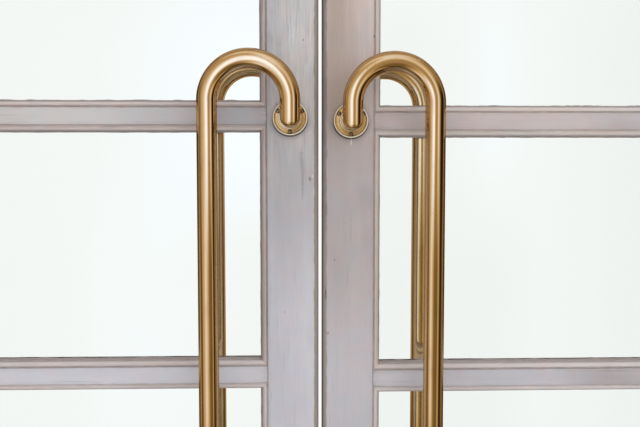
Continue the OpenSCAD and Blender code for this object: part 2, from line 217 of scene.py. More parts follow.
class PaintLook(PropertyGroup):
    """Colours of the old paint, some with painted light and shade in them"""

    left: tint("Left leaf", "Paint of the left leaf", 0.53, 0.50, 0.505)
    # Painted shade beside the left leaf's pull handle, which shades the paint there
    painted_handle_shade: tint("Dusky", "Duller paint beside the left leaf's pull handle", 0.455, 0.437, 0.447)
    right: tint("Right leaf", "Paint of the right leaf", 0.45, 0.405, 0.408)
    # Painted light: the left leaf's paint is paler high up
    painted_light_high: tint("Bleached", "Paler paint high up on the left leaf", 0.655, 0.63, 0.61)
    cool: tint("Cool", "Cooler paint", 0.66, 0.65, 0.70)
    # High up the right leaf's paint is warmer: yellower near its meeting edge, paler further from it
    warmer_high: tint("Yellowed", "Yellowed paint high up on the right leaf", 0.47, 0.38, 0.325)
    warmer_high_rails: tint("Sunned", "Warmer paint high up on the right leaf's rails", 0.67, 0.57, 0.54)
    # Painted light and shade: the left leaf's beads shaded, the right leaf's lit, those along the rails lit
    # more
    bead: tint("Left beads", "Paint of the left leaf's beads", 0.535, 0.45, 0.42)
    lit_level_bead: tint("Level beads", "Paint of the beads along the rails", 0.72, 0.65, 0.63)
    lit_right_bead: tint("Right beads", "Paint of the right leaf's beads", 0.63, 0.55, 0.49)
    dirt: tint("Dirt", "Dirt", 0.15, 0.11, 0.10)
    stain: tint("Stain", "Thin stain that spreads from the dirt", 0.30, 0.235, 0.21)
    # Grime round the roses, with painted shadow below them
    grime_and_shadow: tint("Grime", "Grime round the roses", 0.085, 0.06, 0.055)
    worn: tint("Worn", "Worn meeting edge of the left leaf", 0.26, 0.215, 0.165)
    # Painted shade on the right leaf's meeting edge, which faces away from the light, less of it low down
    shaded_right_edge: tint("Blackened", "Worn meeting edge of the right leaf", 0.15, 0.13, 0.135)
    rubbed: tint("Rubbed", "Paler rubs on the right leaf's meeting edge", 0.33, 0.27, 0.27)
    shaded_right_edge_low: tint("Lower edge", "Meeting edge of the right leaf, low down", 0.33, 0.285, 0.25)
    primer: tint("Primer", "Older paint under chips", 0.62, 0.56, 0.52)
    scuff: tint("Scuffs", "Long scuffs", 0.25, 0.235, 0.24)
    speck: tint("Specks", "Pale specks", 0.78, 0.76, 0.75)


class BrassLook(PropertyGroup):
    """Colours of the brass, with a painted highlight and a painted shade among them"""

    bright: tint("Bright", "Polished brass", 0.89, 0.67, 0.38)
    rosy: tint("Rosy", "Brass with a copper tinge", 0.86, 0.60, 0.36)
    yellow: tint("Yellow", "Turned brass of the roses", 1.0, 0.87, 0.50)
    # Partly a painted highlight: paler and less metallic than the brass, so bright from every side
    rubbed: tint("Rubbed", "Bright rubbed rims of the roses", 1.0, 0.90, 0.73)
    screw: tint("Screws", "Duller brass of the screws' heads", 0.52, 0.37, 0.19)
    tarnish: tint("Tarnish", "Tarnish and dirt", 0.09, 0.05, 0.02)
    # Painted shade at a flat angle, standing in for the dark reflections along the tubes' edges
    flat_angle_shade: tint("Lacquer", "What old lacquer leaves of the colour at a flat angle", 0.60, 0.42, 0.20)


class StageLook(PropertyGroup):
    """Camera and light"""

    distance: metres("Distance", "From the camera to the leaves' outer face", 1.4232)
    height: metres("Height", "Height of the camera", 1.4201)
    sideways: metres("Sideways", "Place of the camera along the doors", -0.0489)
    yaw: degrees("Yaw", "How far the camera turns left", -1.937)
    pitch: degrees("Pitch", "How far the camera looks down", 4.187)
    lens: plain("Lens", "Focal length in millimetres", 50.0)
    floor: tint("Floor", "Colour of the floor", 0.80, 0.80, 0.79)
    floor_radius: metres("Floor radius", "Radius of the floor", 3.0)
    surround_width: metres("Surround width", "Half the width of what the metal reflects", 1.0)
    surround_depth: metres("Surround depth", "Half the depth of what the metal reflects", 0.75)
    surround_height: metres("Surround height", "Height of what the metal reflects", 2.55)
    ambient: plain("Ambient", "Strength of the light from all round", 0.80)
    mirrored: plain("Mirrored", "How bright the surround is in metal and glass outside it", 0.90)
    key_power: plain("Key", "Power of the soft light in front and above, in watts", 36.0)


def grid_faces(rows, columns, close_rows=False, close_columns=False):
    """Corners of the quads of a grid of points, whose last row or column may be joined to its first."""
    row = np.arange(rows if close_rows else rows - 1)
    column = np.arange(columns if close_columns else columns - 1)
    row, column = np.meshgrid(row, column, indexing="ij")
    next_row, next_column = (row + 1) % rows, (column + 1) % columns
    corners = (
        row * columns + column, row * columns + next_column,
        next_row * columns + next_column, next_row * columns + column,
    )
    return np.stack(corners, axis=-1).reshape(-1, 4)


def make_shell(points, lay, crevice, nose=None, **closed):
    """One closed surface: a grid of points, its faces, and what its material reads at each point."""
    nose = np.full(points.shape[:2], FAR) if nose is None else nose
    faces = grid_faces(*points.shape[:2], **closed)
    return {"points": points, "faces": faces, "attributes": {LAY: lay, CREVICE: crevice, NOSE: nose}}


def weld(points, faces):
    """Joins points that lie on each other. Returns which points stay, and the quads and triangles left."""
    keys = np.round(points / WELD).astype(np.int64)
    _, keep, new_number = np.unique(keys, axis=0, return_index=True, return_inverse=True)
    faces = new_number.reshape(-1)[faces]
    same = faces == np.roll(faces, -1, axis=1)
    whole_faces = faces[~same.any(axis=1)]
    once = same.sum(axis=1) == 1
    pinched, place = faces[once], same[once].argmax(axis=1)
    turned = np.take_along_axis(pinched, (place[:, None] + np.arange(4)) % 4, axis=1)
    return keep, whole_faces, turned[:, 1:]


def facing_out(points, quads, triangles):
    """Turns the faces of closed shells round where the volume that they enclose comes out negative."""
    halves = np.concatenate([quads[:, [0, 1, 2]], quads[:, [0, 2, 3]], triangles])
    a, b, c = (points[halves[:, k]] for k in range(3))
    volume = np.einsum("ij,ij->i", a, np.cross(b, c)).sum()
    return (quads[:, ::-1], triangles[:, ::-1]) if volume < 0 else (quads, triangles)


def piece(name, shells, material, body, replaced=(), sharp=40.0):
    """Makes one object from shells, with the material of the given name, and hands it to its body."""
    points, quads, triangles, start = [], [], [], 0
    attributes = {key: [] for key in shells[0]["attributes"]}
    for shell in shells:
        flat = shell["points"].reshape(-1, 3)
        keep, four, three = weld(flat, shell["faces"])
        four, three = facing_out(flat[keep], four, three)
        points.append(flat[keep])
        quads.append(four + start)
        triangles.append(three + start)
        start += len(keep)
        for key, values in shell["attributes"].items():
            width = 3 if key == LAY else 1
            attributes[key].append(values.reshape(-1, width)[keep])
    faces = np.concatenate(quads).tolist() + np.concatenate(triangles).tolist()
    mesh = bpy.data.meshes.new(name)
    mesh.from_pydata(np.concatenate(points).tolist(), [], faces)
    for key, values in attributes.items():
        kind, field = ("FLOAT_VECTOR", "vector") if key == LAY else ("FLOAT", "value")
        layer = mesh.attributes.new(key, kind, "POINT")
        layer.data.foreach_set(field, np.concatenate(values).astype(np.float32).ravel())
    mesh.polygons.foreach_set("use_smooth", np.ones(len(mesh.polygons), bool))
    mesh.set_sharp_from_angle(angle=math.radians(sharp))
    mesh.materials.append(bpy.data.materials[material])
    thing = bpy.data.objects.new(name, mesh)
    bpy.context.scene.collection.objects.link(thing)
    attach(thing, body)
    if replaced:
        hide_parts(*replaced)


def dress(node, material):
    """Gives a frame node the material of the given name in every slot."""
    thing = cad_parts[node]
    if not thing.material_slots:
        thing.data.materials.append(None)
    for place in thing.material_slots:
        place.material = bpy.data.materials[material]


def face_points(width):
    """Distances across a flat face from one edge to the other, closer together near both edges."""
    near = np.array(NEAR_EDGE) * MM
    near = near[near < width / 2]
    middle = np.linspace(near[-1], width - near[-1], max(2, int(width / FLAT_STEP)) + 1)[1:-1]
    return np.concatenate([near, middle, (width - near)[::-1]])


def outline(low, high, radii, steps=5):
    """Section of a bar: a rectangle with its four edges rounded, as points and normals.

    It runs from the foot of the front face, up that face, over the top, down the back and under the foot. A
    flat side is a row of points between two arcs, and an arc of radius r round the centre c is c plus r times
    the normal.
    """
    (a0, b0), (a1, b1) = low, high
    corners = np.array([(a0, b0), (a1, b0), (a1, b1), (a0, b1)], float)
    inward = np.array([(1, 1), (-1, 1), (-1, -1), (1, -1)])
    points, normals = [], []
    for k in range(4):
        following = (k + 1) % 4
        turn = np.linspace(k - 2, k - 1, steps + 1) * math.pi / 2
        normal = np.stack([np.cos(turn), np.sin(turn)], axis=1)
        arc = corners[k] + radii[k] * inward[k] + radii[k] * normal
        along = corners[following] - corners[k]
        length = np.abs(along).sum()
        direction = along / length
        inner = face_points(length - radii[k] - radii[following])[1:-1]
        points += [arc, arc[-1] + inner[:, None] * direction]
        normals += [normal, np.repeat(normal[-1:], len(inner), axis=0)]
    return np.concatenate(points), np.concatenate(normals)


def bar(section, along, ends, ease):
    """A section carried along a straight bar and closed at both ends.

    A point is the section's point at each place along the bar. The two end sections shrink to the section's
    middle, which closes them, and with ease the last one before is drawn in along its normals, which eases
    the end's edge.
    """
    points, normals = section
    start, stop = ends
    count = max(2, int((stop - start) / BAR_STEP) + 1)
    middle = np.repeat(points.mean(axis=0)[None], len(points), axis=0)
    drawn_in = points - normals * ease
    rows = np.array([middle, drawn_in] + [points] * count + [drawn_in, middle])
    at = np.concatenate([[start] * 2, np.linspace(start + ease, stop - ease, count), [stop] * 2])
    run = np.broadcast_to(at[:, None], rows.shape[:2])
    order = (rows[..., 0], rows[..., 1], run) if along == "z" else (run, rows[..., 1], rows[..., 0])
    return np.stack(order, axis=-1), rows, at


def timber(node, paint, body, section, along, ends, sign, crevices=(), nose=None, ease=0.0, offset=0.0):
    """Makes one bar of painted timber in the place of a frame node, with what its paint needs.

    lay holds the place across, through and along the bar, crevice the distance across its faces to the
    nearest edge along which dirt lies, and nose the distance to the meeting edge.
    """
    grid, rows, at = bar(section, along, ends, ease)
    across, shape = rows[..., 0], rows.shape[:2]
    lay = np.stack([across, rows[..., 1], np.broadcast_to(at[:, None] + offset, shape)], axis=-1)
    crevice = np.full(shape, FAR)
    for edge in crevices:
        crevice = np.minimum(crevice, np.abs(across - edge))
    if ease:
        crevice = np.minimum(crevice, np.minimum(at - at[0], at[-1] - at)[:, None])
    distance = None if nose is None else np.abs(across - nose)
    shell = make_shell(grid * (sign, 1, 1), lay, crevice, distance, close_columns=True)
    piece(f"{node}_timber", [shell], paint, body, (node,))


class Nodes:
    """Short calls that add one shader node to a tree and return the socket that the next call needs"""

    def __init__(self, tree):
        self.tree = tree

    def feed(self, node, inputs):
        """Links or sets a node's inputs, which go by name or by number. Returns the node's outputs."""
        for name, value in inputs.items():
            socket = node.inputs[name]
            if isinstance(value, bpy.types.NodeSocket):
                self.tree.links.new(value, socket)
            elif socket.type == "RGBA" and len(value) == 3:
                socket.default_value = (*value, 1.0)
            else:
                socket.default_value = value
        return node.outputs

    def node(self, kind, inputs=(), **settings):
        """Adds a node. Returns its outputs."""
        node = self.tree.nodes.new("ShaderNode" + kind)
        for name, value in settings.items():
            setattr(node, name, value)
        return self.feed(node, dict(inputs))

    def group(self, tree, **inputs):
        """Places a node group. Returns its outputs."""
        return self.node("Group", inputs, node_tree=tree)

    def math(self, operation, a, b=0.0, clamp=False):
        """A sum on one value or two."""
        return self.node("Math", {0: a, 1: b}, operation=operation, use_clamp=clamp)[0]

    def plus(self, a, b, clamp=False):
        """One value plus the other."""
        return self.math("ADD", a, b, clamp)

    def less(self, a, b, clamp=False):
        """One value less the other."""
        return self.math("SUBTRACT", a, b, clamp)

    def times(self, product, *factors):
        """Values multiplied by each other."""
        for factor in factors:
            product = self.math("MULTIPLY", product, factor)
        return product

    def most(self, greatest, *values):
        """The greatest of several values."""
        for value in values:
            greatest = self.math("MAXIMUM", greatest, value)
        return greatest

    def size(self, value):
        """A value without its sign."""
        return self.math("ABSOLUTE", value)

    def vector(self, operation, *values):
        """A sum on vectors."""
        return self.node("VectorMath", enumerate(values), operation=operation)[0]

    def distance(self, vector):
        """Length of a vector."""
        return self.node("VectorMath", {0: vector}, operation="LENGTH")["Value"]

    def xyz(self, vector):
        """The three parts of a vector, by name."""
        return self.node("SeparateXYZ", {0: vector})

    def mix(self, share, a, b, blend="MIX"):
        """A mix of two colours."""
        return self.node("Mix", {0: share, 6: a, 7: b}, data_type="RGBA", blend_type=blend)[2]

    def between(self, share, a, b):
        """A mix of two values."""
        return self.node("Mix", {0: share, 2: a, 3: b}, data_type="FLOAT")[0]

    def fade(self, value, start, end, low=0.0, high=1.0):
        """Goes smoothly from low at start to high at end."""
        inputs = {"Value": value, "From Min": start, "From Max": end, "To Min": low, "To Max": high}
        return self.node("MapRange", inputs, interpolation_type="SMOOTHSTEP")["Result"]

    def noise(self, vector, scale, detail, roughness):
        """Noise between 0 and 1."""
        inputs = {"Vector": vector, "Scale": scale, "Detail": detail, "Roughness": roughness}
        return self.node("TexNoise", inputs)[0]

    def stretched(self, vector, scale, detail, roughness):
        """Noise with its own scale in each direction."""
        place = self.node("Mapping", {"Vector": vector, "Scale": scale})["Vector"]
        return self.noise(place, 1.0, detail, roughness)

    def streaks(self, vector, across, along, detail, roughness):
        """Noise drawn out along Z, by its scale across and its scale along."""
        return self.stretched(vector, (across, across, along), detail, roughness)

    def drawn_out(self, vector, across, along):
        """A place enlarged across Z and along it, by values that may be sockets."""
        return self.vector("MULTIPLY", vector, self.node("CombineXYZ", {0: across, 1: across, 2: along})[0])

    def attribute(self, name, output="Fac"):
        """What a piece carries for its material at this point."""
        return self.node("Attribute", attribute_name=name)[output]

    def place(self):
        """The object's own coordinates."""
        return self.node("TexCoord")["Object"]

    def bump(self, height, strength, distance):
        """A normal tilted by the relief."""
        return self.node("Bump", {"Strength": strength, "Distance": distance, "Height": height})[0]


def new_group(name, vectors, values, results):
    """Makes a node group with vector and value inputs. Returns its Nodes, its inputs and its output node."""
    tree = bpy.data.node_groups.new(name, "ShaderNodeTree")
    sockets = (("INPUT", "Vector", vectors), ("INPUT", "Float", values), ("OUTPUT", "Float", results))
    for way, kind, labels in sockets:
        for label in labels:
            tree.interface.new_socket(name=label, in_out=way, socket_type="NodeSocket" + kind)
    return Nodes(tree), tree.nodes.new("NodeGroupInput").outputs, tree.nodes.new("NodeGroupOutput")


def brush_marks():
    """Node group: fine marks that run along Z of the given place, with a slow change of tone under them."""
    n, given, result = new_group("Brush marks", ["Place"], ["Fineness", "Run"], ["Marks", "Tone"])
    drawn = n.drawn_out(given["Place"], given["Fineness"], given["Run"])
    fine, broad = n.noise(drawn, 1.0, 4.0, 0.65), n.noise(drawn, 0.22, 2.0, 0.5)
    marks = n.plus(n.times(fine, 0.6), n.times(broad, 0.4))
    n.feed(result, {"Marks": marks, "Tone": n.streaks(given["Place"], 9.0, 4.0, 3.0, 0.6)})
    return n.tree


def crevice_dirt():
    """Node group: dirt that lies along an edge and thins out, unevenly, up to its reach."""
    n, given, result = new_group("Crevice dirt", ["Place"], ["Distance", "Reach"], ["Dirt", "Stain"])
    uneven = n.streaks(given["Place"], 300.0, 60.0, 3.0, 0.6)
    reach = n.times(given["Reach"], n.fade(uneven, 0.25, 0.75, 0.45, 1.5))
    share = n.math("DIVIDE", given["Distance"], reach)
    n.feed(result, {"Dirt": n.fade(share, 0.0, 1.0, 1.0, 0.0), "Stain": n.fade(share, 0.5, 5.0, 1.0, 0.0)})
    return n.tree


def paint_chips():
    """Node group: small chips, fewer where the amount is low, and long scuffs along Z of the place."""
    n, given, result = new_group("Paint chips", ["Place"], ["Amount"], ["Chips", "Scuffs"])
    size, where = n.noise(given["Place"], 260.0, 3.0, 0.55), n.noise(given["Place"], 22.0, 2.0, 0.5)
    limit = n.less(0.80, n.times(given["Amount"], 0.12))
    limit = n.less(limit, n.fade(where, 0.55, 0.75, 0.0, 0.07))
    scuffs = n.fade(n.streaks(given["Place"], 330.0, 9.0, 1.0, 0.5), 0.70, 0.78)
    n.feed(result, {"Chips": n.fade(n.less(size, limit), 0.0, 0.02), "Scuffs": scuffs})
    return n.tree


def metal_polish():
    """Node group: rubbing marks along Z of the place, tarnish in soft clouds, and dark specks."""
    n, given, result = new_group("Metal polish", ["Place"], ["Fineness"], ["Rubbing", "Clouds", "Specks"])
    drawn = n.drawn_out(given["Place"], given["Fineness"], n.times(given["Fineness"], 0.012))
    specks, where = n.noise(given["Place"], 620.0, 2.0, 0.5), n.noise(given["Place"], 35.0, 2.0, 0.5)
    n.feed(result, {
        "Rubbing": n.noise(drawn, 1.0, 3.0, 0.6),
        "Clouds": n.streaks(given["Place"], 60.0, 18.0, 4.0, 0.6),
        "Specks": n.times(n.fade(specks, 0.66, 0.72), n.fade(where, 0.45, 0.65)),
    })
    return n.tree


def spot():
    """Node group: a soft-edged spot, 1 within the given half sizes of its centre and 0 outside."""
    n, given, result = new_group("Spot", ["Place", "Centre", "Reach"], [], ["Spot"])
    share = n.vector("DIVIDE", n.vector("SUBTRACT", given["Place"], given["Centre"]), given["Reach"])
    ragged = n.fade(n.noise(given["Place"], 420.0, 3.0, 0.6), 0.2, 0.8, -0.35, 0.35)
    n.feed(result, {"Spot": n.fade(n.plus(n.distance(share), ragged), 1.0, 0.55)})
    return n.tree


def new_material(name):
    """Makes a material. Returns its Nodes and its shader."""
    material = bpy.data.materials.new(name)
    material.use_nodes = True
    return Nodes(material.node_tree), material.node_tree.nodes["Principled BSDF"]


def spots(n, group, marks):
    """The strongest of several spots on the leaves' outer face, at this place."""
    place, total, face = n.place(), 0.0, -leaf_sizes()["face"]
    for x, z, half_width, half_height, strength in marks:
        mark = n.group(group, Place=place, Centre=(x, face, z), Reach=(half_width, SPOT_DEPTH, half_height))
        total = n.most(total, n.times(mark["Spot"], strength))
    return total


def rose_grime_and_shadow(n):
    """Grime and painted shadow in a thin ring round every rose's foot, on both faces of both leaves."""
    place, total = n.xyz(n.place()), 0.0
    for side, sign in SIDES.items():
        x, heights, radius, _ = rose_places(side, "outside")
        for height in heights:
            across = n.less(place["X"], sign * x)
            up = n.plus(n.less(place["Z"], height), 0.8 * MM)
            away = n.math("SQRT", n.plus(n.times(across, across), n.times(up, up)))
            # A thin ring of grime and painted shadow, and a wider soft painted shadow, both strongest below the
            # rose
            ring = n.fade(away, radius + 1.0 * MM, radius + 2.8 * MM, 1.0, 0.0)
            soft_shadow = n.fade(away, radius + 1 * MM, radius + 10 * MM, 0.28, 0.0)
            below = n.fade(up, 12 * MM, -14 * MM, 0.35, 1.0)
            total = n.most(total, n.times(n.most(ring, soft_shadow), below))
    return total


def lit_bead_colour(n, look, place, right):
    """Colour of the beads' paint, with painted light and shade by leaf, by facing and by height."""
    # Painted light: a bead is paler the more it faces up or down, and low down
    normal = n.xyz(n.node("NewGeometry")["Normal"])
    level = n.fade(n.size(normal["Z"]), 0.15, 0.55, 0.0, 0.9)
    level = n.most(level, n.fade(place["Z"], 1.14, 1.00, 0.0, 0.9))
    return n.mix(level, n.mix(right, look.bead, look.lit_right_bead), look.lit_level_bead)


def leaf_colour(n, look, place, right, upper, uneven):
    """Colour of the leaves' paint by leaf, part and height, with painted light and painted shade in it."""
    x, z = place["X"], place["Z"]
    rail = n.fade(n.size(x), STILE_END, STILE_END + 2 * MM)
    # Painted shade: the left leaf's stile is darker away from its meeting edge, beside the handle
    light = n.most(n.fade(x, -60 * MM, -15 * MM, 0.0, 0.6), rail)
    colour = n.mix(right, n.mix(light, look.painted_handle_shade, look.left), look.right)
    # Low down the paint is cooler, but not towards the right leaf's hanging stile
    low = n.fade(right, 0.0, 1.0, n.fade(z, 1.40, 1.10, 0.0, 0.82), n.fade(z, 1.26, 1.04, 0.0, 0.64))
    low = n.times(low, n.fade(x, 0.35, 0.50, 1.0, 0.0))
    colour = n.mix(n.plus(low, n.times(uneven, 0.4), True), colour, look.cool)
    # High up the left leaf is paler, which is painted light, and the right one warmer, yellower towards its
    # meeting edge
    high_tone = n.mix(right, look.painted_light_high, n.mix(n.fade(x, 20 * MM, STILE_END), look.warmer_high, look.warmer_high_rails))
    pale = n.most(n.fade(x, -STILE_END, -25 * MM, 0.25, 1.0), n.fade(right, 0.0, 1.0, 0.0, 0.95))
    pale = n.between(rail, pale, n.between(right, 0.75, 0.70))
    pale = n.times(pale, n.fade(x, 0.35, 0.50, 1.0, 0.45))
    colour = n.mix(n.times(n.plus(upper, uneven, True), pale), colour, high_tone)
    # Painted shade: the left leaf's rails are darker beside its pull handle, which shades them
    beside = n.times(n.fade(x, -235 * MM, -145 * MM), n.fade(right, 0.0, 1.0, 1.0, 0.0))
    return n.mix(n.times(beside, rail, n.fade(z, 1.30, 1.40, 0.0, 0.95)), colour, look.painted_handle_shade)


def brushed(n, colour, marks, lay, place, right, upper, streaks):
    """The colour with brush strokes, which show most high up on the left meeting stile, and soft blotches."""
    stile = n.fade(n.size(place["X"]), 100 * MM, STILE_END)
    stile = n.times(upper, stile, n.fade(right, 0.0, 1.0, 1.0, 0.15))
    patchy = n.fade(n.streaks(lay, 70.0, 28.0, 2.0, 0.5), 0.35, 0.65, 0.25, 1.5)
    swing = n.plus(n.times(stile, patchy, streaks * 5.5), streaks)
    stroke = n.times(n.fade(marks["Marks"], 0.3, 0.7, -1.0, 1.0), swing)
    level = n.plus(n.plus(stroke, 1.0), n.fade(marks["Tone"], 0.25, 0.75, -0.05, 0.05))
    blotch = n.fade(n.noise(n.place(), 34.0, 2.0, 0.5), 0.35, 0.65)
    colour = n.mix(1.0, colour, level, "MULTIPLY")
    return n.mix(1.0, colour, n.mix(blotch, WARM_BLOTCH, COOL_BLOTCH), "MULTIPLY")


def worn_and_shaded_edge(n, colour, look, lay, place, right):
    """Paint rubbed off the meeting edges, painted shade on the right leaf's, and dirt between the leaves."""
    wander = n.fade(n.streaks(lay, 90.0, 30.0, 4.0, 0.65), 0.3, 0.7, -1.0 * MM, 1.0 * MM)
    rubs = n.fade(n.streaks(lay, 700.0, 45.0, 3.0, 0.6), 0.3, 0.7)
    # Painted shade on the right leaf's meeting edge, which faces away from the light, with paler rubs and less
    # low down
    edge_shade = n.mix(n.fade(place["Z"], 1.24, 1.34), look.shaded_right_edge_low, n.mix(rubs, look.shaded_right_edge, look.rubbed))
    edge = n.attribute(NOSE)
    worn = n.fade(n.plus(edge, wander), 8.2 * MM, 6.2 * MM, 0.0, 0.85)
    colour = n.mix(worn, colour, n.mix(right, look.worn, edge_shade))
    return n.mix(n.fade(edge, 2.2 * MM, 0.6 * MM, 0.0, 0.5), colour, look.dirt)


def painted(name, look, groups, part="leaf", chips=0.0, streaks=0.03):
    """Old satin paint: brush marks, leaf tones, dirty crevices, a worn meeting edge with painted shade, chips.
    """
    n, shader = new_material(name)
    lay, place = n.attribute(LAY, "Vector"), n.xyz(n.place())
    right, upper = n.fade(place["X"], -20 * MM, 20 * MM), n.fade(place["Z"], 1.30, 1.56)
    marks = n.group(groups["brush"], Place=lay, Fineness=560.0, Run=30.0)
    if part == "frame":
        colour = n.mix(n.fade(marks["Tone"], 0.3, 0.7, 0.1, 0.6), look.left, look.cool)
    elif part == "bead":
        colour = lit_bead_colour(n, look, place, right)
    else:
        colour = leaf_colour(n, look, place, right, upper, n.fade(marks["Tone"], 0.3, 0.7, -0.25, 0.25))
    colour = brushed(n, colour, marks, lay, place, right, upper, streaks)
    flaws = n.group(groups["chips"], Place=lay, Amount=chips)
    colour = n.mix(n.times(flaws["Scuffs"], 0.30), colour, look.scuff)
    dirt = n.group(groups["dirt"], Place=lay, Distance=n.attribute(CREVICE), Reach=1.3 * MM)
    colour = n.mix(n.times(dirt["Stain"], 0.14), colour, look.stain)
    colour = n.mix(n.times(dirt["Dirt"], 0.50), colour, look.dirt)
    colour = worn_and_shaded_edge(n, colour, look, lay, place, right)
    colour = n.mix(n.times(flaws["Chips"], 0.8), colour, look.primer)
    relief = n.less(marks["Marks"], n.times(flaws["Chips"], 1.6))
    if part != "frame":
        pits, specks = spots(n, groups["spot"], PITS), spots(n, groups["spot"], SPECKS)
        # Grime and painted shadow round the roses
        colour = n.mix(n.times(rose_grime_and_shadow(n), 0.95), colour, look.grime_and_shadow)
        colour = n.mix(specks, n.mix(pits, colour, look.dirt), look.speck)
        relief = n.plus(relief, n.times(n.less(specks, pits), 2.0))
    roughness = n.fade(marks["Marks"], 0.3, 0.7, 0.38, 0.52)
    n.feed(shader, {"Base Color": colour, "Roughness": roughness, "Normal": n.bump(relief, 0.35, 0.12 * MM)})


def brass(
    name, look, groups, base, roughness=0.03, tarnish=0.2, reach=0.9 * MM, stain=0.25, metal=1.0, marked=True
):
    """Polished brass with rubbing marks, a copper tinge, tarnish in clouds, in specks and in the crevices.

    Where it is seen at a flat angle it is painted darker and redder, a painted shade for the dark reflections
    along the tubes' edges. A rose's rubbed rim is partly a painted highlight, bright from every side. A frame's
    node isn't marked with where its crevices and its rubbed rim are, so it has neither.
    """
    n, shader = new_material(name)
    lay = n.attribute(LAY, "Vector") if marked else n.place()
    polish = n.group(groups["polish"], Place=lay, Fineness=1800.0)
    colour = n.mix(n.fade(polish["Clouds"], 0.35, 0.7, 0.0, 0.5), base, look.rosy)
    dark = n.most(n.times(n.fade(polish["Clouds"], 0.5, 0.8), tarnish), n.times(polish["Specks"], 0.7))
    bright = 0.0
    if marked:
        dirt = n.group(groups["dirt"], Place=lay, Distance=n.attribute(CREVICE), Reach=reach)
        dark = n.most(dark, n.times(dirt["Dirt"], 0.97), n.times(dirt["Stain"], stain))
        # Painted highlight, partly a rubbed rim: a rose's rim is paler, less metallic and rougher, so bright
        # from every side
        bright = n.fade(n.attribute(NOSE), 1.0 * MM, 1.5 * MM, 1.0, 0.0)
        dark = n.times(dark, n.less(1.0, bright))
        colour = n.mix(bright, colour, look.rubbed)
    colour = n.mix(dark, colour, look.tarnish)
    # Painted shade: at a flat angle the colour darkens and reddens, for the dark reflections along the tubes'
    # edges
    flat = n.fade(n.node("LayerWeight", {"Blend": 0.5})["Facing"], 0.28, 0.72)
    flat = n.times(flat, n.less(1.0, bright))
    rough = n.fade(polish["Rubbing"], 0.3, 0.7, roughness * 0.7, roughness * 1.5)
    n.feed(shader, {
        "Base Color": n.mix(flat, colour, n.mix(1.0, colour, look.flat_angle_shade, "MULTIPLY")),
        "Metallic": n.less(metal, n.times(bright, 0.8), True),
        "Roughness": n.plus(n.plus(rough, n.times(bright, 0.25)), n.times(dark, 0.25)),
        "Normal": n.bump(polish["Rubbing"], 0.10, 0.04 * MM),
    })


def clear_glass():
    """Clear float glass, faintly green."""
    n, shader = new_material("clear glass")
    n.feed(shader, {
        "Base Color": (0.93, 0.97, 0.95), "Transmission Weight": 1.0,
        "Roughness": 0.0, "IOR": 1.5,
    })


def oak():
    """Dark oiled hardwood with its grain along X."""
    n, shader = new_material("oiled oak")
    grain = n.stretched(n.place(), (6.0, 160.0, 160.0), 6.0, 0.65)
    n.feed(shader, {
        "Base Color": n.mix(n.fade(grain, 0.3, 0.7), (0.085, 0.045, 0.022), (0.21, 0.125, 0.065)),
        "Roughness": n.fade(grain, 0.3, 0.7, 0.42, 0.62),
        "Normal": n.bump(grain, 0.3, 0.3 * MM),
    })


def steel():
    """Greased bright steel with a fine ground finish."""
    n, shader = new_material("ground steel")
    grain = n.stretched(n.place(), (60.0, 2500.0, 2500.0), 3.0, 0.6)
    n.feed(shader, {
        "Base Color": n.mix(n.fade(grain, 0.3, 0.7), (0.32, 0.32, 0.33), (0.50, 0.50, 0.51)),
        "Metallic": 1.0,
        "Roughness": n.fade(grain, 0.3, 0.7, 0.25, 0.45),
    })


class DOORS_OT_materials(Operator):
    """Makes the finishes"""

    bl_idname = "doors.materials"
    bl_label = "Finishes"

    def execute(self, context):
        paint, metal = context.scene.paint_look, context.scene.brass_look
        groups = {
            "brush": brush_marks(), "dirt": crevice_dirt(), "chips": paint_chips(), "polish": metal_polish(),
            "spot": spot(),
        }
        painted("leaf paint", paint, groups, chips=0.15)
        painted("bead paint", paint, groups, "bead", chips=0.5, streaks=0.04)
        painted("frame paint", paint, groups, "frame", chips=0.1)
        brass("tube brass", metal, groups, metal.bright)
        brass(
            "turned brass", metal, groups, metal.yellow, roughness=0.10, tarnish=0.15, reach=0.75 * MM,
            stain=0.02, metal=0.78,
        )
        brass("screw brass", metal, groups, metal.screw, roughness=0.3, tarnish=0.5, reach=1.1 * MM)
        brass("plate brass", metal, groups, metal.bright, roughness=0.25, tarnish=0.6, marked=False)
        clear_glass()
        oak()
        steel()
        return {"FINISHED"}


def leaf_sizes():
    """The right leaf by the frame: x of its edges and panes, y of its inner face, z of its foot and top."""
    meeting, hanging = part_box("right_meeting_stile"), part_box("right_hanging_stile")
    return {
        "meeting_edge": meeting[0].x,
        "pane_x0": meeting[1].x,
        "pane_x1": hanging[0].x,
        "heel": hanging[1].x,
        "face": meeting[1].y,
        "foot": meeting[0].z,
        "top": meeting[1].z,
    }


def rose_places(side, face):
    """Middle x, top and bottom z, radius and height of a pair of roses, as on the right leaf."""
    low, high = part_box(f"{side}_{face}_roses")
    radius = (high.x - low.x) / 2
    return abs(low.x + high.x) / 2, (high.z - radius, low.z + radius), radius, high.y - low.y


def leaf_faces():
    """Each side and face of the leaves by name, with the way each lies from the middle."""
    for side, sign in SIDES.items():
        for face, toward in FACES.items():
            yield side, face, sign, toward


